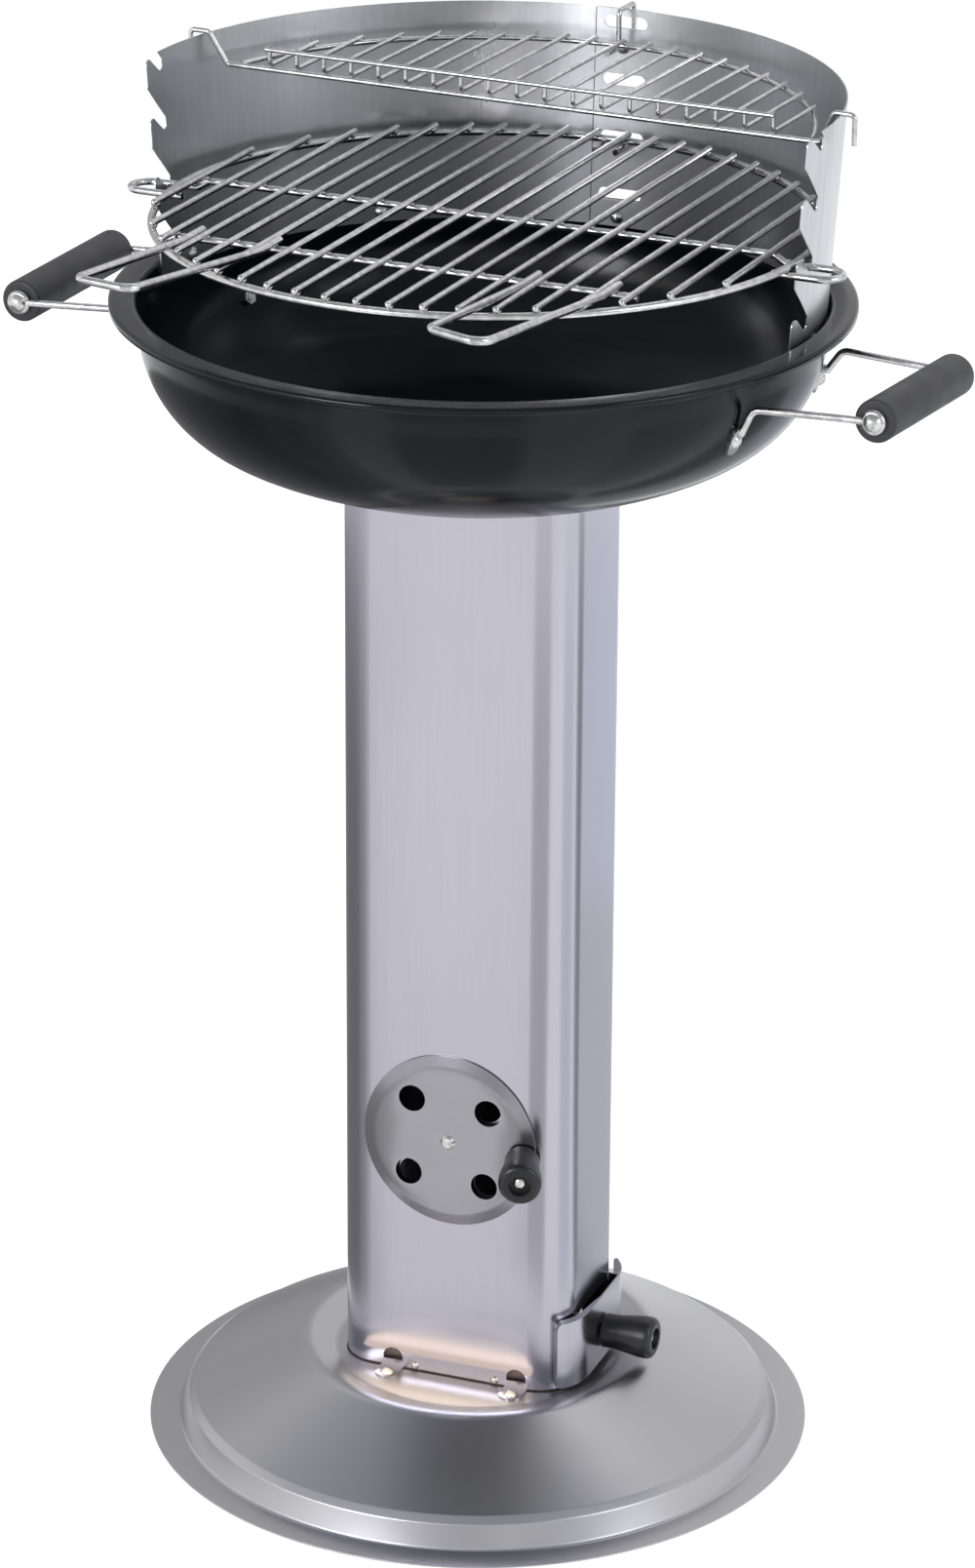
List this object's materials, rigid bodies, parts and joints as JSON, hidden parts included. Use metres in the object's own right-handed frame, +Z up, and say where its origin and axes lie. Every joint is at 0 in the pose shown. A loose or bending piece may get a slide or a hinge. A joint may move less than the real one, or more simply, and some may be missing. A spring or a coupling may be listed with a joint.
{
  "type": "column charcoal barbecue grill",
  "caption": "Free-standing charcoal grill: folded flue column on a round foot plate, enamelled fire bowl, notched half-round wind shield, lift-out cooking grate and hooked warming rack.",
  "frame": {"origin": "at floor level, below the middle of the overall box; the column's axis is 34 mm behind it", "axes": "+Z up, -Y towards the open front of the wind shield, +X towards the ash door"},
  "size_m": [0.5863, 0.5175, 0.8806],
  "materials": {
    "stainless_sheet": "satin",
    "black_enamel": "glossy enamel",
    "black_plastic": "matt",
    "grip_plastic": "fine texture",
    "chromed_wire": "bright",
    "handle_wire": "satin",
    "zinc_fasteners": "satin"
  },
  "bodies": {
    "stand": {"base_plate": "stainless_sheet", "column_shell": "stainless_sheet", "foot_bolts": "zinc_fasteners", "foot_nuts": "zinc_fasteners", "locating_rivets": "zinc_fasteners", "vent_rivet": "zinc_fasteners", "fire_bowl": "black_enamel", "bowl_bolts": "zinc_fasteners", "bowl_nuts": "zinc_fasteners", "left_handle_near_arm": "handle_wire", "left_handle_far_arm": "handle_wire", "left_grip": "grip_plastic", "left_grip_screws": "zinc_fasteners", "right_handle_near_arm": "handle_wire", "right_handle_far_arm": "handle_wire", "right_grip": "grip_plastic", "right_grip_screws": "zinc_fasteners", "handle_foot_bolts": "zinc_fasteners", "handle_foot_nuts": "zinc_fasteners", "left_windshield_half": "stainless_sheet", "right_windshield_half": "stainless_sheet", "windshield_bolts": "zinc_fasteners", "windshield_nuts": "zinc_fasteners", "seam_bolt": "zinc_fasteners", "seam_nut": "zinc_fasteners"},
    "vent_disc": {"vent_disc": "stainless_sheet", "vent_knob": "black_plastic", "vent_knob_screw": "zinc_fasteners"},
    "ash_door": {"ash_door": "stainless_sheet", "ash_door_knob": "black_plastic", "ash_door_knob_screw": "zinc_fasteners"},
    "cooking_grate": {"grate_ring": "chromed_wire", "grate_bars": "chromed_wire", "grate_main_cross_wire": "chromed_wire", "grate_front_cross_wire": "chromed_wire", "grate_rear_hook": "chromed_wire", "left_grate_handle": "chromed_wire", "right_grate_handle": "chromed_wire"},
    "warming_rack": {"rack_front_rod": "chromed_wire", "rack_arc_wire": "chromed_wire", "rack_bars": "chromed_wire", "rack_front_rail": "chromed_wire", "rack_rear_hook": "chromed_wire"}
  },
  "joints": [
    {"name": "vent_disc_turn", "type": "hinge", "parent": "stand", "child": "vent_disc", "pos_m": [0.00355, -0.01839, 0.21375], "axis": [0.0523, -0.9986, 0], "range_deg": [-45, 45]},
    {"name": "ash_door_pull", "type": "slide", "parent": "stand", "child": "ash_door", "axis": [0.9835, 0.0515, 0.1736], "range_m": [0, 0.05]},
    {"name": "cooking_grate_lift", "type": "slide", "parent": "stand", "child": "cooking_grate", "axis": [0, -0.766, 0.6428], "range_m": [0, 0.06]},
    {"name": "warming_rack_lift", "type": "slide", "parent": "stand", "child": "warming_rack", "axis": [0, 0, 1], "range_m": [0, 0.12]}
  ]
}
